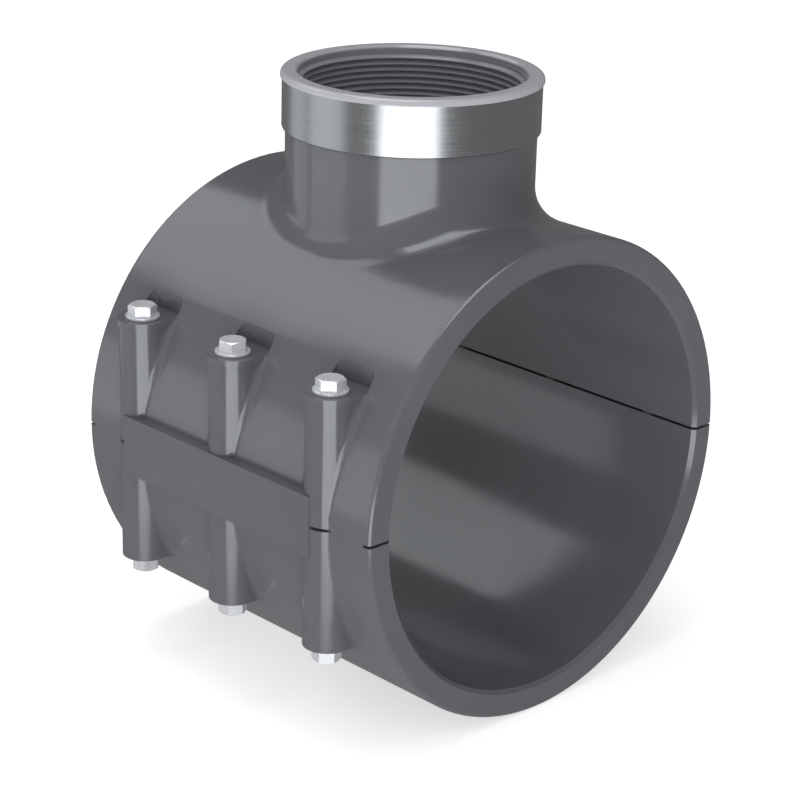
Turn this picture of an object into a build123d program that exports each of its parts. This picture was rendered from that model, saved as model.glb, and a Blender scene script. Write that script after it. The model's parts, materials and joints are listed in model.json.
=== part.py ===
from build123d import *
import os
from math import cos, hypot, radians, sqrt, tan

# Bolted tapping saddle: two moulded halves clamp round a run pipe, and the upper half
# carries a taper-threaded outlet with a stainless reinforcing ring.
# Millimetres. The origin is where the run axis (Y) meets the outlet axis (Z).
# The two rows of bolts stand at +X and -X.

# ---------------------------------------------------------------- driving dimensions
pipe_diameter = 219.1          # run pipe that the saddle clamps round
pipe_clearance = 0.25          # radial, between the pipe and the bore
wall = 14.4                    # moulded wall round the run pipe
body_length = 212.6            # along the run
parting_gap = 1.5              # relief between the two halves
end_edge_radius = 2.4          # outer edge of each end face
mouth_chamfer = 2.0            # lead-in at each end of the bore

outlet_pipe_diameter = 114.3   # male pipe that screws into the outlet
port_diameter = 101.6          # clear way from the outlet into the run
outlet_height = 187.8          # run axis to the top of the outlet
thread_depth = 40.0            # length of the outlet's threaded bore
hub_wall = 6.15                # outlet wall beside the thread
hub_root_radius = 18.0         # blend between the outlet and the saddle

band_thickness = 1.8           # stainless reinforcing ring
band_height = 25.5
band_edge_radius = 0.6
lip_height = 3.2               # moulded lip above the ring
lip_overhang = 0.9             # lip beyond the ring
lip_edge_radius = 2.6
lip_chamfer = 1.4              # countersink at the mouth of the outlet

seal_land = 6.7                # material between the port and the seal groove
seal_width = 7.0
seal_depth = 5.0
seal_clearance = 0.2           # seal to the groove's sides and floor
seal_recess = 0.05             # seal face below the bore, as the pipe presses it
seal_chamfer = 1.4

bolt_diameter = 7.94
bolt_protrusion = 0.55         # bolt tip beyond the nut
bolt_setback = 6.8             # bore to the bolt axis
end_bolt_setback = 36.2        # end face to the first bolt axis
bolts_per_side = 3
bolt_hole_clearance = 0.7      # radial
bolt_tip_chamfer = 0.9
hex_flats = 12.7               # across the flats of heads and nuts
hex_chamfer_angle = 30.0
hex_crown_share = 0.95         # flat crown inside the chamfer, as a share of the flats
turn_per_bolt = 23.0           # degrees from one tightened head to the next
head_height = 5.4
nut_height = 6.75
nut_clearance = 0.04           # radial, between the bolt and the nut's bore
washer_diameter = 17.5
washer_thickness = 1.6
washer_clearance = 0.4         # radial, between the bolt and the washer's bore
washer_chamfer = 0.3

pad_height = 65.2              # run axis to the seat under the bolt heads
foot_depth = 64.0              # run axis to the seat above the nuts
boss_radius = 12.0             # moulded column round each bolt
boss_blend = 4.0               # blend between a column and the saddle
cap_thickness = 3.0            # collar at the top of each upper column
cap_overhang = 1.0
pocket_reach = 17.2            # wrench pocket, from the bolt axis to its back wall
pocket_corner = 4.0

rail_height = 15.5             # side rail, above and below the parting plane
rail_proud = 1.0               # rail face beyond the columns
rail_edge_radius = 2.0
land_width = 4.2               # outer strip of the parting face where the halves touch
land_setback = 4.5             # strip ends short of the end faces

# ---------------------------------------------------------------- derived dimensions
bore_radius = pipe_diameter / 2 + pipe_clearance
body_radius = bore_radius + wall
half_length = body_length / 2
half_gap = parting_gap / 2

thread_radius = outlet_pipe_diameter / 2
port_radius = port_diameter / 2
hub_radius = thread_radius + hub_wall
band_radius = hub_radius + band_thickness
lip_radius = band_radius + lip_overhang
lip_base = outlet_height - lip_height
band_base = lip_base - band_height

groove_inner = port_radius + seal_land
groove_outer = groove_inner + seal_width
groove_floor = bore_radius + seal_depth

bolt_radius = bolt_diameter / 2
bolt_offset = bore_radius + bolt_setback
bolt_pitch = (body_length - 2 * end_bolt_setback) / (bolts_per_side - 1)
column_bite = wall / 3
washer_radius = washer_diameter / 2
head_seat = pad_height + washer_thickness
nut_seat = -foot_depth - washer_thickness
bolt_length = head_seat - nut_seat + nut_height + bolt_protrusion
cap_radius = boss_radius + cap_overhang
pad_skin = sqrt(body_radius**2 - pad_height**2)
foot_skin = sqrt(body_radius**2 - foot_depth**2)
pocket_back = bolt_offset - pocket_reach
pocket_front = bolt_offset + 2 * cap_radius
rail_face = bolt_offset + boss_radius + rail_proud
land_inner = body_radius - land_width

bolt_rows = [bolt_pitch * ((bolts_per_side - 1) / 2 - i) for i in range(bolts_per_side)]
bolt_places = [(side * bolt_offset, y) for side in (-1, 1) for y in bolt_rows]


def column_outline(radius, reach):
    """Bolt columns in plan: half round outside, straight flanks running in by reach."""
    for x, y in bolt_places:
        inward = -reach if x > 0 else reach
        with Locations((x, y)):
            Circle(radius)
        with Locations((x + inward / 2, y)):
            Rectangle(reach, 2 * radius)


def is_column_root(edge):
    """True for an edge where a column's side meets the saddle's round skin."""
    ends = (edge @ 0, edge @ 1)
    on_skin = all(abs(hypot(end.X, end.Z) - body_radius) < 0.01 for end in ends)
    inside = all(abs(end.Y) < half_length - 2 * end_edge_radius for end in ends)
    return on_skin and inside and abs(ends[0].Z - ends[1].Z) > parting_gap


def half_shell(half, up, column_end, skin):
    """Solid half body with its bolt columns; up is 1 for the upper half, -1 for the lower."""
    with BuildSketch(Plane.XZ) as disc:
        Circle(body_radius)
    extrude(disc.sketch, amount=half_length, both=True)
    fillet(half.edges().filter_by(GeomType.CIRCLE), end_edge_radius)
    with BuildSketch(Plane.XY.offset(up * half_gap)) as columns:
        column_outline(boss_radius, bolt_offset - skin + column_bite)
    extrude(columns.sketch, amount=up * (column_end - half_gap))
    with BuildSketch(Plane.XY.offset(up * half_gap)) as other_half:
        Rectangle(4 * body_radius, 2 * body_length)
    extrude(other_half.sketch, amount=-up * 2 * body_radius, mode=Mode.SUBTRACT)
    fillet(half.edges().filter_by(is_column_root), boss_blend)


def side_rails(up):
    """Rails along the parting line, and the strip of the parting face that touches."""
    with BuildSketch(Plane.XZ) as land:
        Circle(body_radius)
        Circle(land_inner, mode=Mode.SUBTRACT)
        with Locations((0, up * half_gap / 2)):
            Rectangle(3 * body_radius, half_gap, mode=Mode.INTERSECT)
    extrude(land.sketch, amount=half_length - land_setback, both=True)
    with BuildSketch(Plane.XZ) as rails:
        for side in (-1, 1):
            with Locations((side * (land_inner + rail_face) / 2, up * rail_height / 2)):
                Rectangle(rail_face - land_inner, rail_height)
        outer = rails.vertices().filter_by(
            lambda v: abs(v.X) > rail_face - 0.1 and abs(v.Z) > rail_height - 0.1
        )
        fillet(outer, rail_edge_radius)
    extrude(rails.sketch, amount=bolt_rows[0], both=True)


def run_bore():
    """Bore for the run pipe, with a conical lead-in at each end."""
    mouth_radius = bore_radius + mouth_chamfer
    with BuildSketch(Plane.YZ) as profile:
        with BuildLine():
            Polyline(
                (-half_length, 0),
                (-half_length, mouth_radius),
                (mouth_chamfer - half_length, bore_radius),
                (half_length - mouth_chamfer, bore_radius),
                (half_length, mouth_radius),
                (half_length, 0),
                close=True,
            )
        make_face()
    revolve(profile.sketch, axis=Axis.Y, mode=Mode.SUBTRACT)


def bolt_holes():
    """Clearance holes through the columns and the saddle wall."""
    with BuildSketch(Plane.XY.offset(-body_radius)) as holes:
        with Locations(*bolt_places):
            Circle(bolt_radius + bolt_hole_clearance)
    extrude(holes.sketch, amount=2 * body_radius, mode=Mode.SUBTRACT)


# ---------------------------------------------------------------- upper half
with BuildPart() as seal_groove:
    with BuildSketch(Plane.XY):
        Circle(groove_outer)
        Circle(groove_inner, mode=Mode.SUBTRACT)
    extrude(amount=body_radius)
    with BuildSketch(Plane.XZ):
        Circle(groove_floor)
    extrude(amount=half_length, both=True, mode=Mode.INTERSECT)

with BuildPart() as upper_saddle_half:
    half_shell(upper_saddle_half, 1, pad_height, pad_skin)
    side_rails(1)

    # Collar at the top of each column, and the wrench pocket behind each bolt head.
    with BuildSketch(Plane.XY.offset(pad_height)):
        column_outline(cap_radius, bolt_offset - pad_skin + column_bite)
    extrude(amount=-cap_thickness)
    with BuildSketch(Plane.XY.offset(pad_height)) as pockets:
        for x, y in bolt_places:
            side = 1 if x > 0 else -1
            with Locations((side * (pocket_back + pocket_front) / 2, y)):
                Rectangle(pocket_front - pocket_back, 2 * cap_radius)
        back_corners = pockets.vertices().filter_by(lambda v: abs(v.X) < pocket_back + 0.1)
        fillet(back_corners, pocket_corner)
    extrude(amount=body_radius - pad_height, mode=Mode.SUBTRACT)

    # Outlet hub, blended into the saddle, with its lip.
    with BuildSketch(Plane.XY.offset(half_gap)):
        Circle(hub_radius)
    extrude(amount=lip_base - half_gap)
    hub_root = upper_saddle_half.edges().filter_by(
        lambda e: all(
            abs(hypot((e @ t).X, (e @ t).Y) - hub_radius) < 0.01
            and abs(hypot((e @ t).X, (e @ t).Z) - body_radius) < 0.01
            for t in (0, 0.3, 0.7)
        )
    )
    fillet(hub_root, hub_root_radius)
    with BuildSketch(Plane.XY.offset(lip_base)):
        Circle(lip_radius)
    extrude(amount=lip_height)
    rim = upper_saddle_half.edges().filter_by(GeomType.CIRCLE).group_by(Axis.Z)[-1]
    fillet(rim, lip_edge_radius)

    run_bore()
    add(seal_groove.part, mode=Mode.SUBTRACT)
    with BuildSketch(Plane.XY):
        Circle(port_radius)
    extrude(amount=outlet_height, mode=Mode.SUBTRACT)
    with BuildSketch(Plane.XY.offset(outlet_height)):
        Circle(thread_radius)
    extrude(amount=-thread_depth, mode=Mode.SUBTRACT)
    mouth = upper_saddle_half.edges().filter_by(GeomType.CIRCLE).group_by(Axis.Z)[-1]
    chamfer(mouth.sort_by(SortBy.RADIUS)[0], lip_chamfer)
    bolt_holes()


# ---------------------------------------------------------------- lower half
with BuildPart() as lower_saddle_half:
    half_shell(lower_saddle_half, -1, foot_depth, foot_skin)
    side_rails(-1)
    run_bore()
    bolt_holes()

# ---------------------------------------------------------------- outlet ring and seal
with BuildPart() as outlet_reinforcing_ring:
    with BuildSketch(Plane.XY.offset(band_base)):
        Circle(band_radius)
        Circle(hub_radius, mode=Mode.SUBTRACT)
    extrude(amount=band_height)
    lower_rim = outlet_reinforcing_ring.edges().filter_by(GeomType.CIRCLE).group_by(Axis.Z)[0]
    fillet(lower_rim.sort_by(SortBy.RADIUS)[-1], band_edge_radius)

with BuildPart() as outlet_seal:
    with BuildSketch(Plane.XY):
        Circle(groove_outer - seal_clearance)
        Circle(groove_inner + seal_clearance, mode=Mode.SUBTRACT)
    extrude(amount=body_radius)
    with BuildSketch(Plane.XZ):
        Circle(groove_floor - seal_clearance)
    extrude(amount=half_length, both=True, mode=Mode.INTERSECT)
    with BuildSketch(Plane.XZ):
        Circle(bore_radius + seal_recess)
    extrude(amount=half_length, both=True, mode=Mode.SUBTRACT)
    chamfer(outlet_seal.edges(), seal_chamfer)


# ---------------------------------------------------------------- fasteners
def hex_blank(seat, height, both_ends):
    """Hexagon bar standing on a plane, its corners turned down at one end or both."""
    corner = hex_flats / 2 / cos(radians(30))
    crown = hex_crown_share * hex_flats / 2
    drop = (corner - crown) * tan(radians(hex_chamfer_angle))
    with BuildSketch(seat) as hexagon:
        RegularPolygon(hex_flats / 2, side_count=6, major_radius=False)
    extrude(hexagon.sketch, amount=height)
    turning_plane = Plane(origin=seat.origin, x_dir=seat.x_dir, z_dir=-seat.y_dir)
    foot = [(crown, 0), (corner, drop)] if both_ends else [(corner, 0)]
    with BuildSketch(turning_plane) as turning:
        with BuildLine():
            Polyline((0, 0), *foot, (corner, height - drop), (crown, height), (0, height), close=True)
        make_face()
    revolve(turning.sketch, axis=Axis(seat.origin, seat.z_dir), mode=Mode.INTERSECT)


def turned_seat(place, height, turn):
    """Plane at a fastener's seat, turned about the bolt axis by an angle in degrees."""
    return Plane((*place, height)).rotated((0, 0, turn))


fasteners = {}
for number, place in enumerate(bolt_places, start=1):
    tightened_to = turn_per_bolt * number
    with BuildPart() as hex_bolt:
        hex_blank(turned_seat(place, head_seat, tightened_to), head_height, False)
        with BuildSketch(Plane((*place, head_seat))):
            Circle(bolt_radius)
        extrude(amount=-bolt_length)
        tip = hex_bolt.edges().filter_by(GeomType.CIRCLE).group_by(Axis.Z)[0]
        chamfer(tip, bolt_tip_chamfer)
    fasteners[f"hex_bolt_{number}"] = hex_bolt

    with BuildPart() as hex_nut:
        nut_plane = turned_seat(place, nut_seat - nut_height, 2 * tightened_to)
        hex_blank(nut_plane, nut_height, True)
        with BuildSketch(nut_plane):
            Circle(bolt_radius + nut_clearance)
        extrude(amount=nut_height, mode=Mode.SUBTRACT)
    fasteners[f"hex_nut_{number}"] = hex_nut

    for name, seat_height in (("head_washer", pad_height), ("nut_washer", nut_seat)):
        with BuildPart() as washer:
            with BuildSketch(Plane((*place, seat_height))):
                Circle(washer_radius)
                Circle(bolt_radius + washer_clearance, mode=Mode.SUBTRACT)
            extrude(amount=washer_thickness)
            rims = washer.edges().filter_by(GeomType.CIRCLE)
            rims = rims.filter_by(lambda e: abs(e.radius - washer_radius) < 0.01)
            chamfer(rims, washer_chamfer)
        fasteners[f"{name}_{number}"] = washer

# ---------------------------------------------------------------- export
pieces = {
    "upper_saddle_half": upper_saddle_half,
    "lower_saddle_half": lower_saddle_half,
    "outlet_reinforcing_ring": outlet_reinforcing_ring,
    "outlet_seal": outlet_seal,
    **fasteners,
}

os.makedirs("parts", exist_ok=True)
for name, piece in pieces.items():
    piece.part.label = name
    export_step(piece.part, f"parts/{name}.step")
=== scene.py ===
"""Looks of the bolted tapping saddle: materials, outlet thread, studio and camera."""

import json
import math

import bpy
from mathutils import Matrix, Vector


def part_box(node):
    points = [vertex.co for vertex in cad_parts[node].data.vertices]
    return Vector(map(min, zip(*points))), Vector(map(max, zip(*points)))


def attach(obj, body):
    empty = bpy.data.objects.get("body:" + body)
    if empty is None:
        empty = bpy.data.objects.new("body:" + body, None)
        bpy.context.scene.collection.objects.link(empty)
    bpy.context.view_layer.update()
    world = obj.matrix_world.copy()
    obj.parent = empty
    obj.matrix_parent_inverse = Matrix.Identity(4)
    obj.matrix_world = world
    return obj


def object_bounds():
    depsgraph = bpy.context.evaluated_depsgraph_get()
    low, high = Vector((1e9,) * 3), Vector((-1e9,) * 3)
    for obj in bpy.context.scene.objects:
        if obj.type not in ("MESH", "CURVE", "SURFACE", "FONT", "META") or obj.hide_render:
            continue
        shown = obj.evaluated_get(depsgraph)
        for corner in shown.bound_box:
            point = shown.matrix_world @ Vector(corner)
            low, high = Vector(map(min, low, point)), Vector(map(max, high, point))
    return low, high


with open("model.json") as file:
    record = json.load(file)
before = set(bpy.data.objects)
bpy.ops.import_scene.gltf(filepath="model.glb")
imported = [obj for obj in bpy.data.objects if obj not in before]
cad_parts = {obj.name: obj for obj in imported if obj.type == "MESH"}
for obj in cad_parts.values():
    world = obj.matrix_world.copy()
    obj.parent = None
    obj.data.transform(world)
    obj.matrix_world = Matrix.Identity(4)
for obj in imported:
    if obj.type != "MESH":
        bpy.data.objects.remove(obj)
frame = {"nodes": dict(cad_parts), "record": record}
nodes = frame["nodes"]
cad_low, cad_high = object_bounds()

# ------------------------------------------------------------------ sizes, metres
FLOOR_HEIGHT = cad_low.z
FLOOR_HALF_WIDTH = 6.0
OUTLET_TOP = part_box("upper_saddle_half")[1].z
RING_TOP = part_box("outlet_reinforcing_ring")[1].z

# Painted light at the outlet, on its rim and its bore: the rim is painted lighter as a painted
# highlight, and the bore is painted lighter to stand in for light reaching inside.
PAINTED_LIGHT_BORE_DEPTH = 0.060              # below the ring's top
PAINTED_LIGHT_BORE_FADE = 0.002
PAINTED_LIGHT_WALL_MARGIN = 0.0004            # beyond the thread's root
PAINTED_LIGHT_EDGE = 0.0002

# Outlet thread, 8 to the inch; its root is the bore that the record gives.
OUTLET_THREAD = next(m for m in frame["record"]["mounts"] if m["name"] == "outlet_thread")
THREAD_ROOT = OUTLET_THREAD["dims"]["r_mm"] / 1000
THREAD_LENGTH = OUTLET_THREAD["dims"]["length_mm"] / 1000
THREAD_PITCH = 0.0254 / 8
THREAD_DEPTH = 0.0024
THREAD_LEAD_IN = 0.0014             # countersink at the mouth of the outlet
THREAD_SEGMENTS = 144
# Section of the crest: (share of the pitch from its middle, share of the depth).
THREAD_SECTION = [(-0.47, -0.02), (-0.07, 0.98), (0.07, 0.98), (0.47, -0.02)]

# Bolt thread, 18 to the inch, on the lower end of each bolt.
BOLT_THREAD_PITCH = 0.0254 / 18
BOLT_THREAD_DEPTH = 0.0008
BOLT_THREAD_LENGTH = 0.032

# ------------------------------------------------------------------ camera and lights
# Degrees and metres; the lens and the sensor are in millimetres.
CAMERA_AZIMUTH = -44.45
CAMERA_ELEVATION = 20.52
CAMERA_ROLL = 1.54
CAMERA_DISTANCE = 1.2299
CAMERA_TARGET = Vector((-0.00279, 0.0, 0.0133))
CAMERA_LENS = 106.08
CAMERA_SENSOR = 36

LIGHT_DISTANCE = 2.0
LIGHT_TARGET = Vector((0.0, 0.0, 0.05))
CARD_COLOUR = (0.95, 1.0, 1.03)
FILL_COLOUR = (1.0, 0.97, 1.04)
FILL_WIDTH = 2.0
# Cards show as soft highlights: (name, azimuth, elevation, width, height, watts).
CARDS = [
    ("front_card", CAMERA_AZIMUTH - 2, -17, 1.83, 0.68, 9.0),
    ("crown_card", -169, 44, 1.5, 0.9, 4.2),
    ("left_card", -124, -4, 1.45, 0.9, 2.0),
    ("rear_card", -162, -10, 0.9, 0.6, 0.65),
    ("top_card", -150, 82, 1.6, 1.2, 13),
]
# Fills light the surfaces but don't show in them: (name, azimuth, elevation, watts).
FILLS = [
    ("side_fill", -75, 0, 17),
    ("end_fill", 15, 30, 8),
    ("sky_fill", -60, 55, 13),
]
WORLD_STRENGTH = 0.16


# ------------------------------------------------------------------ material helpers
class Shader:
    """One material: adds nodes, links them and sets the values of its surface."""

    def __init__(self, name):
        self.material = bpy.data.materials.new(name)
        self.material.use_nodes = True
        self.tree = self.material.node_tree
        self.tree.nodes.clear()
        self.output = self.add("ShaderNodeOutputMaterial")
        self.surface = self.add("ShaderNodeBsdfPrincipled")
        self.link(self.surface, "BSDF", self.output, "Surface")
        self.coords = self.add("ShaderNodeTexCoord")

    def add(self, kind, **settings):
        """Adds a node with its settings."""
        node = self.tree.nodes.new(kind)
        for key, value in settings.items():
            setattr(node, key, value)
        return node

    def link(self, source, output, target, entry):
        """Links a named output to an input given by name or by number."""
        self.tree.links.new(source.outputs[output], target.inputs[entry])

    def set(self, entry, value):
        """Sets one value of the surface."""
        self.surface.inputs[entry].default_value = value

    def place(self, location=(0.0, 0.0, 0.0), scale=(1.0, 1.0, 1.0)):
        """Object-space place of a shaded point, scaled and then moved."""
        mapping = self.add("ShaderNodeMapping")
        mapping.inputs["Location"].default_value = location
        mapping.inputs["Scale"].default_value = scale
        self.link(self.coords, "Object", mapping, "Vector")
        return mapping

    def distance(self, place):
        """Distance of a place from the origin."""
        length = self.add("ShaderNodeVectorMath", operation="LENGTH")
        self.link(place, "Vector", length, 0)
        return length

    def height(self):
        """Splits the object-space place of a shaded point into its three parts."""
        parts = self.add("ShaderNodeSeparateXYZ")
        self.link(self.coords, "Object", parts, "Vector")
        return parts

    def noise(self, scale, detail=3.0, roughness=0.5, stretch=(1.0, 1.0, 1.0)):
        """Noise in object space; scale is in waves per metre."""
        noise = self.add("ShaderNodeTexNoise")
        noise.inputs["Scale"].default_value = scale
        noise.inputs["Detail"].default_value = detail
        noise.inputs["Roughness"].default_value = roughness
        self.link(self.place(scale=stretch), "Vector", noise, "Vector")
        return noise

    def ramp(self, noise, low, high, start=0.3, end=0.7):
        """Goes from one colour or grey value to another as the noise rises."""
        ramp = self.add("ShaderNodeValToRGB")
        stops = zip(ramp.color_ramp.elements, (low, high), (start, end))
        for stop, value, position in stops:
            colour = value if hasattr(value, "__len__") else (value, value, value)
            stop.position = position
            stop.color = (*colour, 1.0)
        self.link(noise, "Fac", ramp, "Fac")
        return ramp

    def step(self, source, output, start, end, low=0.0, high=1.0):
        """Goes from the low value at the start to the high value at the end."""
        step = self.add("ShaderNodeMapRange")
        step.inputs["From Min"].default_value = start
        step.inputs["From Max"].default_value = end
        step.inputs["To Min"].default_value = low
        step.inputs["To Max"].default_value = high
        self.link(source, output, step, "Value")
        return step

    def combine(self, operation, first, first_output, second, second_output):
        """Adds or multiplies two values."""
        result = self.add("ShaderNodeMath", operation=operation)
        self.link(first, first_output, result, 0)
        self.link(second, second_output, result, 1)
        return result

    def mix(self, share, output, under, over):
        """Mixes a plain colour over a colour node by a share."""
        mix = self.add("ShaderNodeMixRGB")
        self.link(share, output, mix, "Fac")
        self.link(under, "Color", mix, "Color1")
        mix.inputs["Color2"].default_value = over
        return mix

    def bump(self, source, output, depth, strength=1.0, under=None):
        """Bump of a given depth in metres, on top of another bump if one is given."""
        bump = self.add("ShaderNodeBump")
        bump.inputs["Strength"].default_value = strength
        bump.inputs["Distance"].default_value = depth
        self.link(source, output, bump, "Height")
        if under:
            self.link(under, "Normal", bump, "Normal")
        return bump


# ------------------------------------------------------------------ materials
def moulded_pvc():
    """Grey rigid PVC: semi-gloss moulded skin, with painted light at the outlet: a painted
    highlight on its rim and a painted lightening of its bore.
    """
    shader = Shader("moulded_pvc")
    skin = shader.ramp(shader.noise(9.0, detail=4.0), (0.101, 0.102, 0.110), (0.113, 0.114, 0.122))
    height = shader.height()
    # Painted highlight: the outlet's rim above the ring is painted a lighter grey.
    above_ring = shader.step(height, "Z", RING_TOP - PAINTED_LIGHT_EDGE, RING_TOP)
    skin_with_painted_rim_highlight = shader.mix(above_ring, "Result", skin, (0.42, 0.42, 0.44, 1))
    # Painted light: inside the thread's root and down to the bore's foot, the outlet's bore and
    # thread crest are painted lighter grey, standing in for light reaching in.
    radius = shader.distance(shader.place(scale=(1.0, 1.0, 0.0)))
    bore_wall = THREAD_ROOT + PAINTED_LIGHT_WALL_MARGIN
    inside = shader.step(radius, "Value", bore_wall + PAINTED_LIGHT_EDGE, bore_wall)
    bore_foot = RING_TOP - PAINTED_LIGHT_BORE_DEPTH
    above_foot = shader.step(height, "Z", bore_foot, bore_foot + PAINTED_LIGHT_BORE_FADE)
    painted_bore_light_mask = shader.combine("MULTIPLY", inside, "Result", above_foot, "Result")
    colour = shader.mix(painted_bore_light_mask, "Value", skin_with_painted_rim_highlight, (0.24, 0.24, 0.25, 1))
    shader.link(colour, "Color", shader.surface, "Base Color")
    gloss = shader.ramp(shader.noise(38.0, detail=5.0, roughness=0.6), 0.14, 0.20)
    shader.link(gloss, "Color", shader.surface, "Roughness")
    peel = shader.bump(shader.noise(900.0, detail=2.0), "Fac", 0.00002, 0.08)
    flow = shader.bump(shader.noise(26.0, detail=2.0), "Fac", 0.0004, 0.10, under=peel)
    shader.link(flow, "Normal", shader.surface, "Normal")
    shader.set("IOR", 1.53)
    shader.set("Specular IOR Level", 1.0)
    return shader.material


def polished_stainless():
    """Stainless band: fine turning marks round the outlet axis stretch its highlights upright."""
    shader = Shader("stainless_ring")
    shader.set("Metallic", 1.0)
    shader.set("Anisotropic", 0.75)
    tangent = shader.add("ShaderNodeTangent", direction_type="RADIAL", axis="Z")
    shader.link(tangent, "Tangent", shader.surface, "Tangent")
    turned = shader.noise(60.0, detail=6.0, roughness=0.7, stretch=(0.4, 0.4, 60.0))
    colour = shader.ramp(turned, (0.56, 0.57, 0.58), (0.66, 0.67, 0.68))
    shader.link(colour, "Color", shader.surface, "Base Color")
    gloss = shader.ramp(turned, 0.16, 0.24)
    shader.link(gloss, "Color", shader.surface, "Roughness")
    scratch = shader.bump(turned, "Fac", 0.00001, 0.4)
    shader.link(scratch, "Normal", shader.surface, "Normal")
    return shader.material


def bright_zinc(name, threaded=False):
    """Zinc-plated steel: bright and a little cloudy; a bolt also gets its thread as rings."""
    shader = Shader(name)
    shader.set("Metallic", 0.55)
    clouds = shader.noise(260.0, detail=5.0, roughness=0.65)
    colour = shader.ramp(clouds, (0.78, 0.79, 0.80), (0.90, 0.91, 0.93))
    shader.link(colour, "Color", shader.surface, "Base Color")
    gloss = shader.ramp(clouds, 0.34, 0.22)
    shader.link(gloss, "Color", shader.surface, "Roughness")
    dents = shader.bump(shader.noise(300.0, detail=2.0), "Fac", 0.00006, 0.15)
    normal = thread_rings(shader, dents) if threaded else dents
    shader.link(normal, "Normal", shader.surface, "Normal")
    return shader.material


def thread_rings(shader, under):
    """Bump of one ring per pitch on the threaded lower length of the bolts."""
    thread_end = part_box("hex_bolt_1")[0].z + BOLT_THREAD_LENGTH
    height = shader.height()
    phase = shader.add("ShaderNodeMath", operation="MULTIPLY")
    phase.inputs[1].default_value = 2 * math.pi / BOLT_THREAD_PITCH
    shader.link(height, "Z", phase, 0)
    wave = shader.add("ShaderNodeMath", operation="SINE")
    shader.link(phase, "Value", wave, 0)
    threaded = shader.step(height, "Z", thread_end, thread_end - BOLT_THREAD_PITCH)
    rings = shader.combine("MULTIPLY", wave, "Value", threaded, "Result")
    return shader.bump(rings, "Value", BOLT_THREAD_DEPTH / 2, 0.8, under=under)


def seal_rubber():
    """Black EPDM: matt, with a dusty bloom."""
    shader = Shader("seal_rubber")
    bloom = shader.noise(140.0, detail=5.0, roughness=0.7)
    colour = shader.ramp(bloom, (0.012, 0.012, 0.013), (0.030, 0.030, 0.032))
    shader.link(colour, "Color", shader.surface, "Base Color")
    gloss = shader.ramp(bloom, 0.55, 0.75)
    shader.link(gloss, "Color", shader.surface, "Roughness")
    grain = shader.bump(shader.noise(1800.0, detail=2.0), "Fac", 0.00003, 0.5)
    shader.link(grain, "Normal", shader.surface, "Normal")
    return shader.material


def dress_nodes():
    """Gives each CAD node the material of its slot in the record."""
    looks = {
        "moulded_pvc": moulded_pvc(),
        "stainless_ring": polished_stainless(),
        "fastener_steel": bright_zinc("fastener_steel"),
        "seal_rubber": seal_rubber(),
    }
    threaded_zinc = bright_zinc("threaded_steel", threaded=True)
    for part in frame["record"]["subparts"]:
        mesh = nodes[part["node"]].data
        mesh.materials.clear()
        is_bolt = part["node"].startswith("hex_bolt")
        mesh.materials.append(threaded_zinc if is_bolt else looks[part["material_slot"]])
    return looks


# ------------------------------------------------------------------ outlet thread
def outlet_thread(material):
    """Helical crest of the outlet's thread, standing in from the bore and fading at its ends."""
    top = OUTLET_TOP - THREAD_LEAD_IN
    turns = int(THREAD_LENGTH / THREAD_PITCH) - 1
    steps = turns * THREAD_SEGMENTS
    fade_steps = 0.5 * THREAD_SEGMENTS
    vertices = []
    faces = []
    for step in range(steps + 1):
        angle = 2 * math.pi * step / THREAD_SEGMENTS
        fade = min(1.0, step / fade_steps, (steps - step) / fade_steps)
        height = top - THREAD_PITCH * (0.6 + step / THREAD_SEGMENTS)
        for share, rise in THREAD_SECTION:
            radius = THREAD_ROOT - THREAD_DEPTH * fade * rise
            z = height + share * THREAD_PITCH * max(fade, 0.05)
            vertices.append((radius * math.cos(angle), -radius * math.sin(angle), z))
    width = len(THREAD_SECTION)
    for step in range(steps):
        for side in range(width - 1):
            a = step * width + side
            faces.append((a, a + 1, a + 1 + width, a + width))
    mesh = bpy.data.meshes.new("outlet_thread_crest")
    mesh.from_pydata(vertices, [], faces)
    mesh.update()
    piece = bpy.data.objects.new("outlet_thread_crest", mesh)
    bpy.context.scene.collection.objects.link(piece)
    mesh.materials.append(material)
    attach(piece, "root")


# ------------------------------------------------------------------ studio
def aim(obj, place, target, roll=0.0):
    """Puts an object at a place, looking at a target along its own -Z."""
    back = (place - target).normalized()
    right = Vector((0, 0, 1)).cross(back).normalized()
    up = back.cross(right)
    turn = math.radians(roll)
    right, up = (
        right * math.cos(turn) + up * math.sin(turn),
        up * math.cos(turn) - right * math.sin(turn),
    )
    rotation = Matrix((right, up, back)).transposed()
    obj.matrix_world = Matrix.Translation(place) @ rotation.to_4x4()


def direction(azimuth, elevation):
    """Unit vector towards an azimuth and elevation; azimuth 0 is -Y, and -90 is -X."""
    a, e = math.radians(azimuth), math.radians(elevation)
    return Vector((math.sin(a) * math.cos(e), -math.cos(a) * math.cos(e), math.sin(e)))


def softbox(name, azimuth, elevation, width, height, power, colour):
    """Rectangular light that faces the object."""
    light = bpy.data.lights.new(name, "AREA")
    light.shape = "RECTANGLE"
    light.size = width
    light.size_y = height
    light.energy = power
    light.color = colour
    lamp = bpy.data.objects.new(name, light)
    bpy.context.scene.collection.objects.link(lamp)
    aim(lamp, LIGHT_TARGET + direction(azimuth, elevation) * LIGHT_DISTANCE, LIGHT_TARGET)
    return lamp


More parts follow.
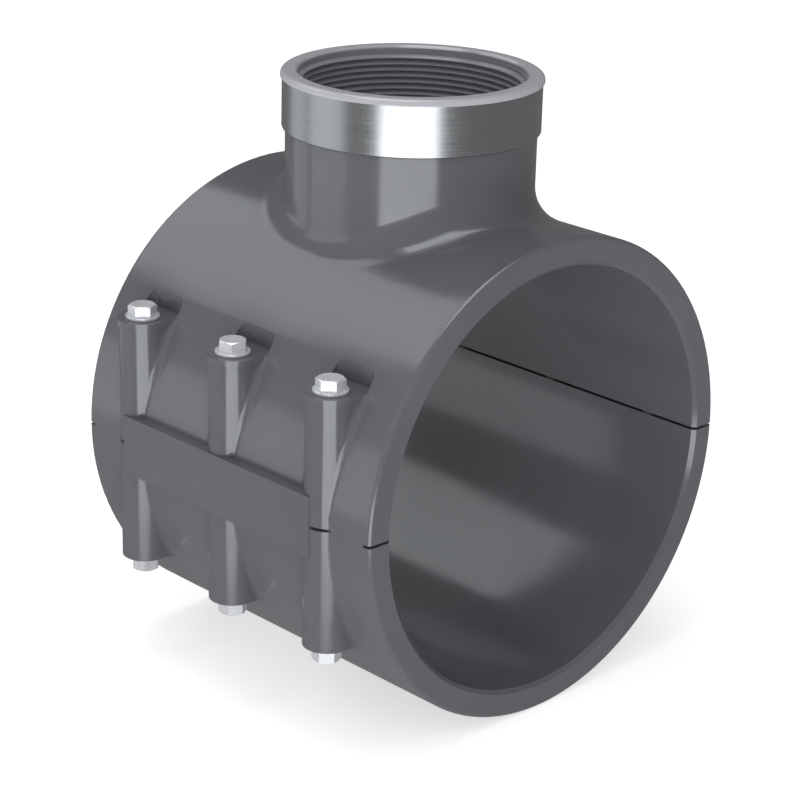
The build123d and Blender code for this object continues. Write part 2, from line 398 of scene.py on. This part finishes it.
def floor():
    """Pale floor with painted light in its glow: a painted shadow makes the glow weaker near the
    object's foot, and painted light makes it stronger far away.
    """
    half = FLOOR_HALF_WIDTH
    mesh = bpy.data.meshes.new("floor")
    corners = [(-half, -half), (half, -half), (half, half), (-half, half)]
    mesh.from_pydata([(x, y, FLOOR_HEIGHT) for x, y in corners], [], [(0, 1, 2, 3)])
    plane = bpy.data.objects.new("floor", mesh)
    bpy.context.scene.collection.objects.link(plane)
    shader = Shader("studio_floor")
    shader.set("Base Color", (0.8, 0.8, 0.8, 1))
    shader.set("Emission Color", (1, 1, 1, 1))
    shader.set("Roughness", 0.9)
    shader.set("Specular IOR Level", 0.0)
    # Distances run from a point level with the run axis, so none is below the floor's depth.
    distance = shader.distance(shader.place(location=(0.02, 0.05, 0.0)))
    # Painted shadow: the glow is dimmer near the object's foot; painted light: it rises far from
    # the object.
    painted_foot_shadow = shader.step(distance, "Value", 0.06, 0.14, low=0.32, high=0.60)
    painted_far_light = shader.step(distance, "Value", 0.7, 1.9, high=0.25)
    glow = shader.combine("ADD", painted_foot_shadow, "Result", painted_far_light, "Result")
    shader.link(glow, "Value", shader.surface, "Emission Strength")
    mesh.materials.append(shader.material)
    plane.visible_glossy = False
    plane.visible_shadow = False


def studio():
    """Floor, world and lights."""
    floor()
    world = bpy.data.worlds.new("studio")
    bpy.context.scene.world = world
    world.use_nodes = True
    background = world.node_tree.nodes["Background"]
    background.inputs["Color"].default_value = (1, 1, 1, 1)
    background.inputs["Strength"].default_value = WORLD_STRENGTH
    for name, azimuth, elevation, width, height, power in CARDS:
        softbox(name, azimuth, elevation, width, height, power, CARD_COLOUR)
    for name, azimuth, elevation, power in FILLS:
        fill = softbox(name, azimuth, elevation, FILL_WIDTH, FILL_WIDTH, power, FILL_COLOUR)
        fill.visible_glossy = False


def camera():
    """Camera at the photo's viewing angle."""
    data = bpy.data.cameras.new("camera")
    data.lens = CAMERA_LENS
    data.sensor_width = CAMERA_SENSOR
    eye = bpy.data.objects.new("camera", data)
    bpy.context.scene.collection.objects.link(eye)
    back = direction(CAMERA_AZIMUTH, CAMERA_ELEVATION)
    aim(eye, CAMERA_TARGET + back * CAMERA_DISTANCE, CAMERA_TARGET, CAMERA_ROLL)
    bpy.context.scene.camera = eye


looks = dress_nodes()
outlet_thread(looks["moulded_pvc"])
studio()
camera()
bpy.context.scene.view_settings.view_transform = "Standard"
